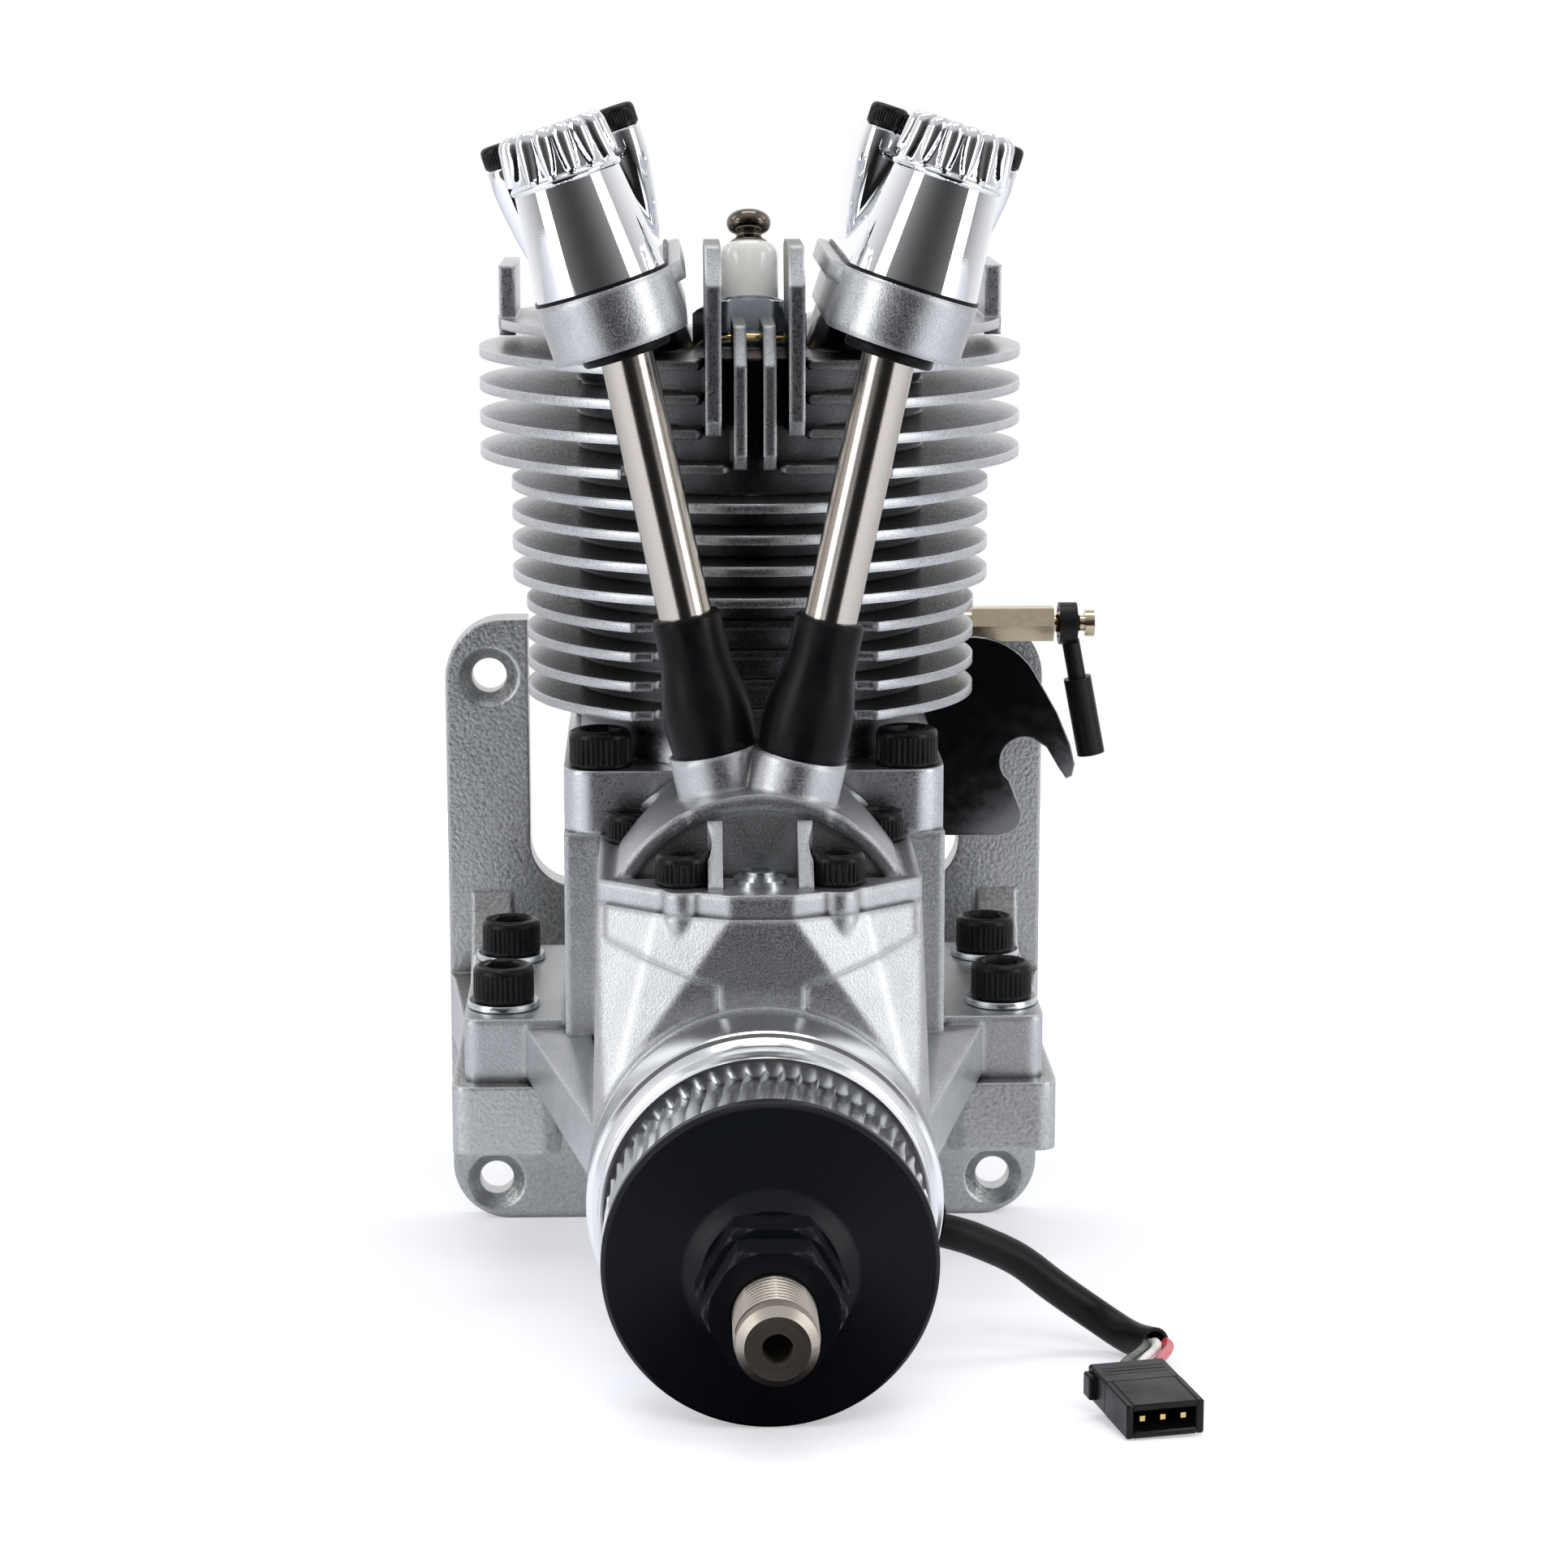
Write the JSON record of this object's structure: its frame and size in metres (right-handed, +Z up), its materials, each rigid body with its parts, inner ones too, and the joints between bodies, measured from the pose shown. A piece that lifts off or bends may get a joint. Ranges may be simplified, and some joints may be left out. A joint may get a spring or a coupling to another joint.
{
  "type": "model aircraft engine",
  "caption": "Upright single-cylinder four-stroke petrol engine on a cast firewall mount, with propeller driver, washer and nuts, rear carburettor and sensor lead.",
  "frame": {"origin": "where the crank axis meets the firewall face of the mount plate", "axes": "+Y out of the firewall face, away from the propeller; the propeller shaft points to -Y; +Z up along the cylinder; +X to the throttle side"},
  "size_m": [0.1006, 0.1938, 0.1742],
  "materials": {
    "cast_case": "fine bead-blasted casting",
    "cast_mount": "rough sand-cast skin",
    "cast_cylinder": "cast fins with bright worn edges",
    "machined": "turned, bright",
    "black_oxide": "black oxide steel",
    "black_anodised": "black, turned, satin",
    "chrome_cover": "mirror chrome",
    "stainless": "drawn stainless tube",
    "zinc": "bright zinc plate",
    "rubber_black": "satin black rubber",
    "ceramic": "glazed white ceramic",
    "plug_steel": "dark zinc plated steel",
    "black_nickel": "black nickel",
    "steel": "ground steel",
    "shaft_steel": "warm grey ground steel with thread",
    "brass_nickel": "nickelled brass",
    "yellow_zinc": "yellow chromate",
    "sheet_zinc": "polished zinc plated sheet",
    "nylon_black": "moulded black nylon",
    "sleeve_black": "black sleeving",
    "wire_red": "pvc wire insulation",
    "gold": "gold flash pins",
    "light_alloy": "die cast alloy",
    "horn_dark": "moulded black phenolic"
  },
  "bodies": {
    "root": {"crankcase": "cast_case", "rear_cover": "cast_case", "case_screws": "black_oxide", "engine_mount": "cast_mount", "mount_screws": "black_oxide", "mount_washers": "zinc", "cylinder": "cast_cylinder", "cylinder_screws": "black_oxide", "cam_housing": "cast_case", "oil_plug": "zinc", "rocker_box_left": "cast_case", "rocker_box_right": "cast_case", "cover_gaskets": "rubber_black", "rocker_cover_left": "chrome_cover", "rocker_cover_right": "chrome_cover", "cover_screws": "black_oxide", "pushrod_tubes": "stainless", "tube_boots": "rubber_black", "rocker_shafts": "steel", "plug_shell": "plug_steel", "plug_insulator": "ceramic", "plug_terminal": "black_nickel", "main_bearings": "steel", "carburettor_body": "light_alloy", "air_horn": "horn_dark", "intake_manifold": "light_alloy", "pump_cover": "light_alloy", "mixture_needles": "brass_nickel", "linkage_bracket": "sheet_zinc", "ignition_sensor": "nylon_black", "sensor_sleeve": "sleeve_black", "sensor_wires": "wire_red", "connector_shell": "nylon_black", "connector_pins": "gold", "valve_spring_left": "steel", "valve_spring_right": "steel"},
    "crank": {"crankshaft": "shaft_steel", "crank_pinion": "steel", "inner_races": "steel", "prop_driver": "machined", "prop_washer": "black_anodised", "prop_nut": "black_anodised", "lock_nut": "black_anodised"},
    "cam": {"camshaft": "steel", "cam_gear": "steel"},
    "piston_and_rod": {"piston": "light_alloy", "piston_ring": "steel", "wrist_pin": "steel", "crank_pin": "steel", "connecting_rod": "steel"},
    "lifter_left": {"pushrod_left": "steel"},
    "lifter_right": {"pushrod_right": "steel"},
    "rocker_arm_left": {"rocker_left": "steel"},
    "rocker_arm_right": {"rocker_right": "steel"},
    "valve_body_left": {"valve_left": "steel"},
    "valve_body_right": {"valve_right": "steel"},
    "throttle": {"throttle_shaft": "brass_nickel", "throttle_arm_plate": "yellow_zinc", "ball_stud": "brass_nickel"},
    "link": {"ball_link": "nylon_black"}
  },
  "joints": [
    {"name": "crank_spin", "type": "hinge", "parent": "root", "child": "crank", "pos_m": [0, -0.0464, 0], "axis": [0, -1, 0], "continuous": true},
    {"name": "cam_spin", "type": "hinge", "parent": "root", "child": "cam", "pos_m": [0, -0.0464, 0.0254], "axis": [0, -1, 0], "continuous": true},
    {"name": "piston_slide", "type": "slide", "parent": "root", "child": "piston_and_rod", "axis": [0, 0, 1], "range_m": [-0.032, 0]},
    {"name": "lifter_left_slide", "type": "slide", "parent": "root", "child": "lifter_left", "axis": [-0.2125, 0, 0.9772], "range_m": [0, 0.003]},
    {"name": "lifter_right_slide", "type": "slide", "parent": "root", "child": "lifter_right", "axis": [0.2125, 0, 0.9772], "range_m": [0, 0.003]},
    {"name": "rocker_left_hinge", "type": "hinge", "parent": "root", "child": "rocker_arm_left", "pos_m": [-0.02273, -0.0694, 0.12032], "axis": [-0.9511, 0, -0.309], "range_deg": [0, 9.2]},
    {"name": "rocker_right_hinge", "type": "hinge", "parent": "root", "child": "rocker_arm_right", "pos_m": [0.02273, -0.0694, 0.12032], "axis": [-0.9511, 0, 0.309], "range_deg": [0, 7.6]},
    {"name": "valve_left_slide", "type": "slide", "parent": "root", "child": "valve_body_left", "axis": [0.309, 0, -0.9511], "range_m": [0, 0.0037], "stiffness_N_per_m": 1500, "springref_m": -0.002, "deforming": ["valve_spring_left"]},
    {"name": "valve_right_slide", "type": "slide", "parent": "root", "child": "valve_body_right", "axis": [-0.309, 0, -0.9511], "range_m": [0, 0.0031], "stiffness_N_per_m": 1500, "springref_m": -0.002, "deforming": ["valve_spring_right"]},
    {"name": "throttle_turn", "type": "hinge", "parent": "root", "child": "throttle", "pos_m": [0, -0.0096, 0.0477], "axis": [1, 0, 0], "range_deg": [0, 60]},
    {"name": "link_swing", "type": "hinge", "parent": "throttle", "child": "link", "pos_m": [0.049, -0.0096, 0.0549], "axis": [1, 0, 0], "range_deg": [-60, 60]}
  ],
  "couplings": [
    {"joint": "cam_spin", "follows": "crank_spin", "ratio": -0.5},
    {"joint": "rocker_left_hinge", "follows": "lifter_left_slide", "rad_per_m": 52.632},
    {"joint": "rocker_right_hinge", "follows": "lifter_right_slide", "rad_per_m": 43.478},
    {"joint": "valve_left_slide", "follows": "lifter_left_slide", "ratio": 1.2105},
    {"joint": "valve_right_slide", "follows": "lifter_right_slide", "ratio": 1}
  ]
}
